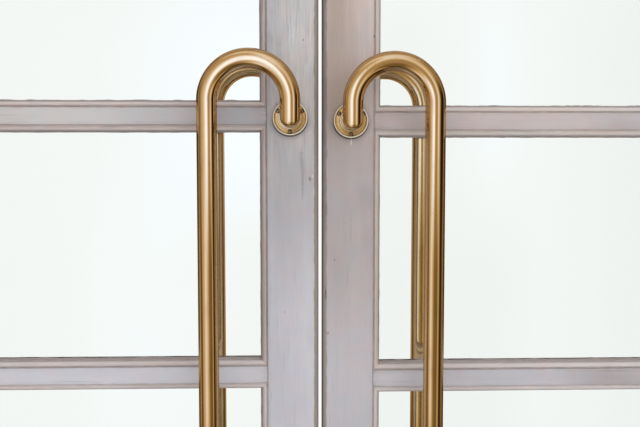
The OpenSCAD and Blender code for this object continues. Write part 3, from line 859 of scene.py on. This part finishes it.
class DOORS_OT_timber(Operator):
    """Makes the painted stiles and rails of both leaves, and the frame's jambs and head"""

    bl_idname = "doors.timber"
    bl_label = "Painted timber"

    def execute(self, context):
        sizes, leaf = context.scene.timber_sizes, leaf_sizes()
        arris, nosing, y = sizes.arris, sizes.nosing, leaf["face"]
        x0, x1, foot, top = leaf["pane_x0"], leaf["pane_x1"], leaf["foot"], leaf["top"]
        meeting_radii = (nosing, arris, arris, nosing)
        hanging_radii = (arris, y * HEEL_ROUND, y * HEEL_ROUND, arris)
        for number, (side, sign) in enumerate(SIDES.items()):
            finish = ("leaf paint", f"{side}_leaf")
            section = outline((leaf["meeting_edge"], -y), (x0, y), meeting_radii, 8)
            timber(
                f"{side}_meeting_stile", *finish, section, "z", (foot, top), sign, (x0,),
                nose=leaf["meeting_edge"], offset=number,
            )
            section = outline((x1, -y), (leaf["heel"], y), hanging_radii, 16)
            timber(
                f"{side}_hanging_stile", *finish, section, "z", (foot, top), sign, (x1,),
                offset=3 + number,
            )
            for level, rail in enumerate(RAILS):
                low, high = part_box(f"{side}_{rail}")
                section = outline((low.z, -y), (high.z, y), (arris,) * 4)
                edges = [z for z in (low.z, high.z) if foot + FAR < z < top - FAR]
                timber(
                    f"{side}_{rail}", *finish, section, "x", (x0, x1), sign, edges,
                    ease=sizes.joint, offset=7 * number + level,
                )
        self.make_frame(sizes.frame_arris)
        return {"FINISHED"}

    def make_frame(self, arris):
        """The jambs and the head, from the leaves' side to the wall's."""
        finish, radii = ("frame paint", "frame"), (arris, WALL_ARRIS * arris, WALL_ARRIS * arris, arris)
        for side, sign in SIDES.items():
            low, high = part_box("right_jamb")
            section = outline((low.x, low.y), (high.x, high.y), radii)
            timber(f"{side}_jamb", *finish, section, "z", (low.z, high.z), sign, offset=11 + sign)
        low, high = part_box("head")
        section = outline((low.z, low.y), (high.z, high.y), radii)
        timber("head", *finish, section, "x", (low.x, high.x), 1, offset=15)


def bead_profile(sizes, depth):
    """Closed section of a bead as (across, depth below the face, distance to the nearest crevice).

    It goes over the quirk's floor, up and round the ovolo, which is a quarter circle, down the fillet to the
    putty on the glass, and back along the glass and the timber.
    """
    q, s, r = sizes.quirk, sizes.set_back, sizes.ovolo
    quirk_depth, fillet_depth, width, putty = sizes.quirk_depth, sizes.fillet_depth, sizes.width, sizes.putty
    start = width - sizes.fillet - r
    turn = np.linspace(0, math.pi / 2, 11)
    quirk = [
        (0.0, quirk_depth, 0.4), (0.5 * q, quirk_depth + 0.3 * MM, 0.0),
        (0.92 * q, quirk_depth - 0.2 * MM, 0.2), (q, quirk_depth - 1.2 * MM, 0.8),
        (q + 0.05 * MM, s + 0.7 * MM, 1.8), (q + 0.25 * MM, s + 0.15 * MM, 2.4),
    ]
    near = 3.0 + 2.0 * np.sin(2 * turn) - 1.6 * (turn > 1.4)
    ovolo = np.stack([start + r * np.sin(turn), s + r - r * np.cos(turn), near], axis=1)
    foot = [
        (start + r + 0.05 * MM, fillet_depth - 0.3 * MM, 0.3), (start + r + 0.4 * MM, fillet_depth, 0.15),
        (width - 0.2 * MM, fillet_depth + 0.05 * MM, 0.5), (width, fillet_depth + 0.4 * MM, 0.5),
        (width, depth - putty, 0.2), (width + putty, depth, 0.0), (0.0, depth, 0.0),
    ]
    section = np.concatenate([np.array(quirk), ovolo, np.array(foot)])
    section[:, 2] *= MM
    return section


def pane_openings(side):
    """Foot and top of the timber opening round each pane of a leaf, from the bottom up."""
    boxes = [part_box(f"{side}_{rail}") for rail in RAILS]
    return [(low[1].z, high[0].z) for low, high in zip(boxes, boxes[1:])]


def bead_shell(section, leaf, opening, sign, toward, sizes, random, offset):
    """Four mitred beads round one pane, as the section carried round the opening.

    A section's point lies on the rectangle that is its own distance inside the opening, at an even share of
    each side's length, with two places close to each corner so that the mitre stays crisp.
    """
    x0, x1, (z0, z1) = leaf["pane_x0"], leaf["pane_x1"], opening
    across, depth, near = section.T
    corners = np.array([
        (x0 + across, z0 + across), (x1 - across, z0 + across),
        (x1 - across, z1 - across), (x0 + across, z1 - across),
    ]).transpose(0, 2, 1)
    rows, places, fills, walk = [], [], [], offset
    for k, length in enumerate((x1 - x0, z1 - z0) * 2):
        tight = MITRE / length
        share = np.linspace(0, 1, int(length / sizes.spacing) + 1)[1:-1]
        share = np.concatenate([[0.0, tight], share, [1 - tight]])
        row = corners[k] + share[:, None, None] * (corners[(k + 1) % 4] - corners[k])
        # Old paint and putty spread unevenly over the edge of the glass, most over a rail
        spread = np.convolve(random.normal(0, 1, len(share) + 2), (0.5, 0.7, 0.5), "valid")
        spread = np.clip(spread, 0, 1.6) * (0.45 if k == 0 else 0.2) * np.clip(40 * share * (1 - share), 0, 1)
        row[:, -2] += spread[:, None] * sizes.putty * np.array(((0, 1), (-1, 0), (0, -1), (1, 0))[k])
        rows.append(row)
        places.append(walk + share * length)
        fills.append(np.full((len(share), 1), TOP_FILLED if k == 2 else sizes.filled))
        walk += length
    rows, places, fills = (np.concatenate(values) for values in (rows, places, fills))
    quirk = (near < 1.0 * MM) & (across <= sizes.quirk)
    depths = depth - fills * quirk * (depth - sizes.set_back)
    rough = random.normal(0, 1, depths.shape)
    rough = (rough + np.roll(rough, 1, axis=0) + np.roll(rough, -1, axis=0)) / 3
    depths += np.clip(rough, -1.5, 1.5) * ((near > 1.9 * MM) * sizes.waviness)
    grid = np.stack([rows[..., 0], -leaf["face"] + depths, rows[..., 1]], axis=-1) * (sign, -toward, 1)
    lay = np.stack(np.broadcast_arrays(across, depths, places[:, None]), axis=-1)
    crevice = near + fills * quirk * FILLED_CREVICE
    return make_shell(grid, lay, crevice, close_rows=True, close_columns=True)


class DOORS_OT_beads(Operator):
    """Makes the moulded glazing beads with their quirks and putty"""

    bl_idname = "doors.beads"
    bl_label = "Glazing beads"

    def execute(self, context):
        sizes, leaf = context.scene.bead_sizes, leaf_sizes()
        random = np.random.default_rng(5)
        section = bead_profile(sizes, leaf["face"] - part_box("right_glass")[1].y)
        for side, face, sign, toward in leaf_faces():
            shells = [
                bead_shell(section, leaf, opening, sign, toward, sizes, random, 2.1 * k)
                for k, opening in enumerate(pane_openings(side))
            ]
            name = f"{side}_{face}_beads"
            piece(name + "_moulded", shells, "bead paint", f"{side}_leaf", (name,))
        return {"FINISHED"}


def tube_path(x, y, top, foot, span, rise, reach, bend_steps):
    """Middles of the tube's sections and, for each, the two directions in which its circle is drawn.

    From the rose a straight arm comes out, turns up in a mitre, whose section leans at 45 degrees, goes over
    a half circle, down the grip, round a second half circle and back into the lower rose.
    """
    radius = span / 2
    x_axis, y_axis, z_axis = np.eye(3)
    rows = []

    def add(middle, first, second):
        """Adds one section."""
        rows.append((np.array(middle), np.array(first), np.array(second)))

    def add_hook(middle_z, start, stop):
        """Adds the sections of a half circle."""
        for turn in np.linspace(start, stop, bend_steps)[1:]:
            inward = -np.array([math.cos(turn), 0, math.sin(turn)])
            add(np.array([x + radius, y, middle_z]) - radius * inward, inward, y_axis)

    for share in (1.0, 0.6, 0.45):
        add((x, y + reach * share, top), x_axis, z_axis)
    add((x, y, top), x_axis, y_axis + z_axis)
    for share in (0.75, 1.0):
        add((x, y, top + rise * share), x_axis, y_axis)
    add_hook(top + rise, math.pi, 0)
    for share in np.linspace(0, 1, GRIP_STEPS + 1)[1:]:
        add((x + span, y, (top + rise) * (1 - share) + (foot - rise) * share), -x_axis, y_axis)
    add_hook(foot - rise, 0, -math.pi)
    add((x, y, foot - rise * 0.75), x_axis, y_axis)
    add((x, y, foot), x_axis, y_axis - z_axis)
    for share in (0.45, 0.6, 1.0):
        add((x, y + reach * share, foot), x_axis, -z_axis)
    return (np.array(column) for column in zip(*rows))


def tube_shell(path, radius, around, corner, buried):
    """Circles carried along a path: a point is the middle plus the radius times the cosine along the first
    direction and the sine along the second. Both ends shrink to their middles, which closes the tube.

    Each mitre's outer corner is eased: its section is replaced by several, whose points run round an arc from
    the leg to the arm. The arc's radius grows with how far out on the corner a point lies.
    """
    middles, first, second = path
    turn = np.linspace(0, 2 * math.pi, around, endpoint=False)
    cosine, sine = np.cos(turn), np.sin(turn)
    grid = middles[:, None] + radius * (first[:, None] * cosine[:, None] + second[:, None] * sine[:, None])
    walk = np.concatenate([[0], np.cumsum(np.linalg.norm(np.diff(middles, axis=0), axis=1))])
    lay = np.stack(np.broadcast_arrays(radius * cosine, radius * sine, walk[:, None]), axis=-1)
    mitres = np.flatnonzero(np.abs(second[:, 1] * second[:, 2]) > 0.5)
    quarter = np.linspace(0, math.pi / 2, ELBOW_STEPS)[:, None]
    reach = corner * ((1 - sine) / 2) ** 2
    # The lower mitre comes first, so that the upper one's row number still holds
    for row, way in zip(mitres[::-1], (1, -1)):
        upward = np.sign(middles[row, 2] - middles[len(middles) // 2, 2])
        arc = np.zeros((ELBOW_STEPS,) + grid[row].shape)
        arc[..., 1] = reach * (1 - np.cos(quarter))
        arc[..., 2] = upward * reach * (1 - np.sin(quarter))
        grid = np.concatenate([grid[:row], (grid[row] + arc)[::way], grid[row + 1:]])
        lay = np.concatenate([lay[:row], np.repeat(lay[row:row + 1], ELBOW_STEPS, axis=0), lay[row + 1:]])
    crevice = np.maximum(np.abs(grid[..., 1] - middles[0, 1]) - buried, 0)
    ends = np.repeat(middles[[0, -1]][:, None], around, axis=1)
    grid = np.concatenate([ends[:1], grid, ends[1:]])
    lay, crevice = (np.concatenate([values[:1], values, values[-1:]]) for values in (lay, crevice))
    return make_shell(grid, lay, crevice, close_columns=True)


class DOORS_OT_pulls(Operator):
    """Makes the swept tubes of the four pull handles"""

    bl_idname = "doors.pulls"
    bl_label = "Pull handles"

    def execute(self, context):
        sizes, leaf = context.scene.handle_sizes, leaf_sizes()
        radius, socket = sizes.tube_diameter / 2, context.scene.rose_sizes.socket
        for side, face, sign, toward in leaf_faces():
            name = f"{side}_{face}_pull"
            low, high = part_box(name)
            x, (top, foot), _, collar_height = rose_places(side, face)
            span = high.x - low.x - 2 * radius
            rise = high.z - radius - span / 2 - top
            y = -max(abs(low.y), abs(high.y)) + radius
            reach = -leaf["face"] - collar_height + socket - y
            path = tube_path(x, y, top, foot, span, rise, reach, sizes.along_bend)
            shell = moved(tube_shell(path, radius, sizes.around, sizes.elbow, socket), 0.0, sign, toward)
            piece(name + "_tube", [shell], "tube brass", f"{side}_leaf", (name,), sharp=25.0)
        return {"FINISHED"}


def rose_section(sizes, outer, height, tube_radius):
    """Turned section of a rose as (radius, height) with the distance of each point to the nearest groove.

    From the middle of the back it goes round the rim, which is a half circle, through the groove beside it,
    over the shallow dish with a fine turned line, and up the collar, whose outer edge is a quarter circle,
    into the socket.
    """
    bore = tube_radius + sizes.socket_gap
    foot, inside = bore + sizes.collar, outer - sizes.rim_width
    dish, plate, edge, rim = sizes.dish, sizes.plate, sizes.collar_edge, sizes.rim_width / 2
    rim_z = sizes.rim_height - rim
    half_turn, quarter = np.linspace(0, math.pi, 9), np.linspace(0, math.pi / 2, 6)
    dish_r = np.linspace(inside - 1.1 * MM, foot + 0.3 * MM, 27)
    share = (dish_r - foot) / (inside - foot)
    line = np.exp(-((share - LINE_PLACE) / LINE_WIDTH) ** 2)
    parts = (
        [(0, 0), (outer * 0.98, 0), (outer, 0.15 * MM), (outer, rim_z * 0.9)],
        np.stack([outer - rim + rim * np.cos(half_turn), rim_z + rim * np.sin(half_turn)], axis=1),
        [(inside, dish - 0.6 * MM), (inside - 0.5 * MM, dish - 1.1 * MM)],
        np.stack([dish_r, plate + (dish - plate) * share ** 2 - LINE_DEPTH * line], axis=1),
        [(foot, plate - 0.2 * MM), (foot, plate + 1.5 * MM)],
        np.stack([foot - edge + edge * np.cos(quarter), height - edge + edge * np.sin(quarter)], axis=1),
        [(bore + 0.15 * MM, height), (bore, height - 0.15 * MM), (bore, height - sizes.socket)],
        [(0, height - sizes.socket)],
    )
    section = np.concatenate([np.array(part, float) for part in parts])
    r, z = section.T
    crevice = np.full(len(section), FAR)
    for groove_r, groove_z in ((inside - 0.5 * MM, dish - 0.9 * MM), (foot, plate), (bore, height)):
        crevice = np.minimum(crevice, np.hypot(r - groove_r, z - groove_z))
    turned_line = np.abs(r - (foot + LINE_PLACE * (inside - foot))) + 0.35 * MM
    crevice = np.minimum(crevice, np.where(z > dish + 0.2 * MM, FAR, turned_line))
    crevice[:5] = FAR
    return section, crevice, (foot + inside) / 2, plate + (dish - plate) / 4


def rose_shell(section, crevice, sizes, outer, screw_ring, screw_height):
    """The section turned about its axis, with a round recess sunk into the dish for each screw."""
    near = np.radians(np.linspace(-11, 11, 29))
    turn = np.unique(np.concatenate([np.radians(np.arange(0, 360, 3.0))] + [t + near for t in SCREW_TURNS]))
    screw_radius = sizes.screw_head / 2
    r, z = section.T
    across, up = r * np.cos(turn)[:, None], r * np.sin(turn)[:, None]
    height = np.broadcast_to(z, across.shape)
    # The first four points are the rose's back and its outer edge
    front = np.arange(len(section)) > 3
    for angle in SCREW_TURNS:
        away = np.hypot(across - screw_ring * math.cos(angle), up - screw_ring * math.sin(angle))
        sunk = screw_height - RECESS + RECESS * np.clip((away - screw_radius) / (0.35 * MM), 0, 2.5)
        recess = (away < screw_radius + 0.6 * MM) & front & (height < screw_height + 1.6 * MM)
        height = np.where(recess, np.minimum(height, sunk), height)
        crevice = np.minimum(crevice, np.where(front, np.maximum(away - screw_radius - 0.3 * MM, 0), FAR))
    lay = np.stack(np.broadcast_arrays(r * 3, height * 3, turn[:, None] * 0.02), axis=-1)
    nose = np.abs(r - outer + sizes.rim_width / 2) + np.where(z < sizes.dish, FAR, 0)
    nose = np.broadcast_to(nose, height.shape)
    return make_shell(np.stack([across, -height, up], axis=-1), lay, crevice, nose, close_rows=True)


def screw_shell(radius, slot, turn):
    """A slotted screw head: a flat dome, cut by a slot across it, with its edge turned down.

    The height is the dome's parabola over the radius, less the slot's depth within the slot's width.
    """
    share = np.array([0, 0.12, 0.22, 0.34, 0.46, 0.58, 0.7, 0.82, 0.92, 1.0, 1.0, 0.0])
    around = np.linspace(0, 2 * math.pi, 60, endpoint=False)[:, None]
    x, z = radius * share * np.cos(around), radius * share * np.sin(around)
    dome = DOME * (1 - share ** 2)
    dome[-2:] = HEAD_FOOT
    across = np.abs(x * math.sin(turn) - z * math.cos(turn))
    groove = (across < slot / 2) & (np.arange(len(share)) < len(share) - 2)
    height = np.where(groove, SLOT_FLOOR, dome)
    crevice = np.where(groove, 0.0, np.maximum(radius * (0.95 - share), 0.0))
    return make_shell(
        np.stack([x, -height, z], axis=-1), np.stack([x, z, height], axis=-1), crevice, close_rows=True
    )


def moved(shell, offset, sign, toward):
    """A shell put in its place on the right leaf's outside and mirrored to its own side and face."""
    return {**shell, "points": (shell["points"] + np.array(offset)) * (sign, -toward, 1)}


class DOORS_OT_roses(Operator):
    """Makes the turned roses and their slotted screws"""

    bl_idname = "doors.roses"
    bl_label = "Roses and screws"

    def execute(self, context):
        sizes, leaf = context.scene.rose_sizes, leaf_sizes()
        tube_radius = context.scene.handle_sizes.tube_diameter / 2
        random = np.random.default_rng(8)
        for side, face, sign, toward in leaf_faces():
            x, heights, outer, tall = rose_places(side, face)
            section, crevice, ring, screw_z = rose_section(sizes, outer, tall, tube_radius)
            rose = rose_shell(section, crevice, sizes, outer, ring, screw_z)
            name, body = f"{side}_{face}_roses", f"{side}_leaf"
            roses, screws = [], []
            for place in ((x, -leaf["face"], z) for z in heights):
                roses.append(moved(rose, place, sign, toward))
                for angle in SCREW_TURNS:
                    screw = screw_shell(sizes.screw_head / 2, sizes.slot, random.uniform(0, math.pi))
                    at = np.array([ring * math.cos(angle), -screw_z + 0.1 * MM, ring * math.sin(angle)])
                    screws.append(moved(screw, at + place, sign, toward))
            piece(name + "_turned", roses, "turned brass", body, (name,), sharp=35.0)
            piece(f"{side}_{face}_rose_screws", screws, "screw brass", body, (), sharp=30.0)
        return {"FINISHED"}


class DOORS_OT_fittings(Operator):
    """Finishes the glass, the threshold and the pivots' metalwork"""

    bl_idname = "doors.fittings"
    bl_label = "Glass, threshold and pivots"

    def execute(self, context):
        dress("threshold", "oiled oak")
        for node in ("floor_springs", "top_centres"):
            dress(node, "plate brass")
        for side in SIDES:
            dress(f"{side}_glass", "clear glass")
            dress(f"{side}_bottom_pivot", "ground steel")
            dress(f"{side}_top_pivot", "ground steel")
        return {"FINISHED"}


def floor_finish(look):
    """Pale floor that fades out towards its rim."""
    n, shader = new_material("floor")
    alpha = n.fade(n.distance(n.place()), look.floor_radius * 0.55, look.floor_radius * 0.98, 1.0, 0.0)
    n.feed(shader, {"Base Color": look.floor, "Roughness": 0.9, "Alpha": alpha})


def card_finish(name, glow):
    """A card that shows only in polished metal, also seen through a pane, and is clear to all else."""
    n, shader = new_material(name)
    n.tree.nodes.remove(shader)
    strength, colour = glow(n)
    lit = n.node("Emission", {"Color": colour, "Strength": strength})[0]
    mirrored = n.math("GREATER_THAN", n.node("LightPath")["Glossy Depth"], 0.5)
    shown = n.node("MixShader", {0: mirrored, 1: n.node("BsdfTransparent")[0], 2: lit})[0]
    n.feed(n.tree.nodes["Material Output"], {"Surface": shown})


def brightness_round(n, turn, stops):
    """Brightness at an angle given as a share of a full turn, between the stops' angles."""
    ramp = n.tree.nodes.new("ShaderNodeValToRGB")
    bands, top = ramp.color_ramp.elements, max(level for _, level in stops)
    while len(bands) < len(stops):
        bands.new(0.5)
    for band, (angle, level) in zip(bands, stops):
        band.position = angle / 360 + 0.5
        band.color = (level / top, level / top, level / top, 1.0)
    return n.times(n.feed(ramp, {0: turn})["Color"], top)


def daylight(n, strength):
    """Colour of light by how bright it is: brown when dim, neutral between, blue-white when bright."""
    shade = n.mix(n.fade(strength, 0.03, 0.60), (1.0, 0.64, 0.24), (1.0, 0.80, 0.52))
    return n.mix(n.fade(strength, 0.50, 1.25), shade, (0.80, 0.94, 1.38))


def surround_glow(n, place=None):
    """Brightness and colour of the surround at a place, which is the object's own unless one is given."""
    place = n.xyz(place or n.place())
    turn = n.math("ARCTAN2", place["X"], n.times(place["Y"], -1.0))
    turn = n.plus(n.math("DIVIDE", turn, 2 * math.pi), 0.5)
    low, middle, high = (brightness_round(n, turn, stops) for stops in (LOW_BANDS, EYE_BANDS, HIGH_BANDS))
    strength = n.between(n.fade(place["Z"], 1.10, 1.46), low, middle)
    strength = n.between(n.fade(place["Z"], 1.60, 2.02), strength, high)
    strength = n.times(strength, n.fade(place["Z"], 0.30, 0.85, 0.30, 1.0))
    return strength, daylight(n, strength)


def lid_glow(n):
    """Brightness and colour of the surround's lid, which is darkest over the doors."""
    strength = n.fade(n.size(n.xyz(n.place())["Y"]), 0.0, 0.7, 0.34, 0.92)
    return strength, daylight(n, strength)


def mat_glow(n):
    """Brightness and colour of the surround's floor."""
    return 0.16, (1.0, 0.85, 0.7)


class DOORS_OT_stage(Operator):
    """Makes the floor, the light and the camera"""

    bl_idname = "doors.stage"
    bl_label = "Stage"

    def execute(self, context):
        look = context.scene.stage_look
        self.make_camera(context.scene, look)
        bpy.ops.mesh.primitive_circle_add(vertices=96, radius=look.floor_radius, fill_type="NGON")
        floor = context.object
        floor.name = "floor"
        floor_finish(look)
        floor.data.materials.append(bpy.data.materials["floor"])
        self.make_surround(look)
        self.make_light(context.scene, look)
        return {"FINISHED"}

    def make_camera(self, scene, look):
        """The camera, level with the upper rails and turned a little aside."""
        camera = bpy.data.objects.new("camera", bpy.data.cameras.new("camera"))
        scene.collection.objects.link(camera)
        camera.data.lens = look.lens
        camera.data.sensor_width = 36.0
        camera.location = (look.sideways, -leaf_sizes()["face"] - look.distance, look.height)
        camera.rotation_euler = (math.radians(90) - look.pitch, 0.0, look.yaw)
        scene.camera = camera

    def make_surround(self, look):
        """Cards that only reflections see: an oval drum, its lid and a dark mat.

        A point of the drum is its half width times the sine and its half depth times the cosine of the turn.
        """
        turn = np.linspace(0, 2 * math.pi, 120, endpoint=False)
        x, y = look.surround_width * np.sin(turn), -look.surround_depth * np.cos(turn)
        foot, top = (np.stack([x, y, np.full(len(turn), z)], axis=1) for z in (0.0, look.surround_height))
        disc = np.arange(len(turn))[None]
        drum = grid_faces(2, len(turn), close_columns=True)
        self.add_card("surround", np.concatenate([foot, top]), drum, surround_glow)
        self.add_card("lid", top, disc, lid_glow)
        self.add_card("mat", foot + (0.0, 0.0, 4 * MM), disc, mat_glow)

    def add_card(self, name, points, faces, glow):
        """One card of the surround, hidden from all rays but those that polished metal sends out."""
        card_finish(name, glow)
        mesh = bpy.data.meshes.new(name)
        mesh.from_pydata(points.tolist(), [], faces.tolist())
        mesh.materials.append(bpy.data.materials[name])
        card = bpy.data.objects.new(name, mesh)
        bpy.context.scene.collection.objects.link(card)
        for ray in ("camera", "diffuse", "shadow", "volume_scatter"):
            setattr(card, "visible_" + ray, False)

    def make_light(self, scene, look):
        """A white world, which polished metal sees as the surround, and a soft light in front and above."""
        world = bpy.data.worlds.new("studio")
        scene.world = world
        world.use_nodes = True
        n = Nodes(world.node_tree)
        rays = n.node("LightPath")
        seen = n.most(rays["Is Camera Ray"], rays["Is Transmission Ray"])
        # Beyond the cards a reflection shows the same surround, by the direction in which it looks
        direction = n.node("TexCoord")["Generated"]
        around = n.vector("MULTIPLY_ADD", direction, DIRECTION_SCALE, DIRECTION_LIFT)
        glow, colour = surround_glow(n, around)
        unseen = n.between(rays["Is Glossy Ray"], look.ambient, n.times(glow, look.mirrored))
        n.feed(world.node_tree.nodes["Background"], {
            "Color": n.mix(n.less(rays["Is Glossy Ray"], seen, True), (1.0, 1.0, 1.0), colour),
            "Strength": n.between(seen, unseen, 1.0),
        })
        light = bpy.data.lights.new("key", "AREA")
        light.shape = "RECTANGLE"
        light.size, light.size_y = KEY_SIZE
        light.energy = look.key_power
        key = bpy.data.objects.new("key", light)
        key.location = KEY_PLACE
        key.rotation_euler = (Vector(KEY_AIM) - key.location).to_track_quat("-Z", "Y").to_euler()
        for ray in ("camera", "glossy", "transmission"):
            setattr(key, "visible_" + ray, False)
        scene.collection.objects.link(key)
        scene.view_settings.view_transform = "Standard"


class DOORS_PT_panel(Panel):
    """Lists the doors' operators and sizes"""

    bl_label = "Doors"
    bl_space_type = "VIEW_3D"
    bl_region_type = "UI"
    bl_category = "Doors"

    def draw(self, context):
        for operator in OPERATORS:
            self.layout.operator(operator.bl_idname)
        for name, group in SETTINGS.items():
            box = self.layout.box()
            for setting in group.__annotations__:
                box.prop(getattr(context.scene, name), setting)


OPERATORS = (
    DOORS_OT_materials, DOORS_OT_timber, DOORS_OT_beads, DOORS_OT_pulls, DOORS_OT_roses, DOORS_OT_fittings,
    DOORS_OT_stage,
)
SETTINGS = {
    "timber_sizes": TimberSizes, "bead_sizes": BeadSizes, "handle_sizes": HandleSizes,
    "rose_sizes": RoseSizes, "paint_look": PaintLook, "brass_look": BrassLook, "stage_look": StageLook,
}
CLASSES = tuple(SETTINGS.values()) + OPERATORS + (DOORS_PT_panel,)


def register():
    """Registers the classes and gives each scene its settings."""
    for cls in CLASSES:
        bpy.utils.register_class(cls)
    for name, group in SETTINGS.items():
        setattr(bpy.types.Scene, name, PointerProperty(type=group))


def unregister():
    """Takes the settings and the classes away again."""
    for name in SETTINGS:
        delattr(bpy.types.Scene, name)
    for cls in reversed(CLASSES):
        bpy.utils.unregister_class(cls)


def main():
    """Makes the doors' looks and the stage."""
    register()
    bpy.ops.doors.materials()
    bpy.ops.doors.timber()
    bpy.ops.doors.beads()
    bpy.ops.doors.pulls()
    bpy.ops.doors.roses()
    bpy.ops.doors.fittings()
    bpy.ops.doors.stage()
    bpy.context.view_layer.update()


if __name__ == "__main__":
    main()
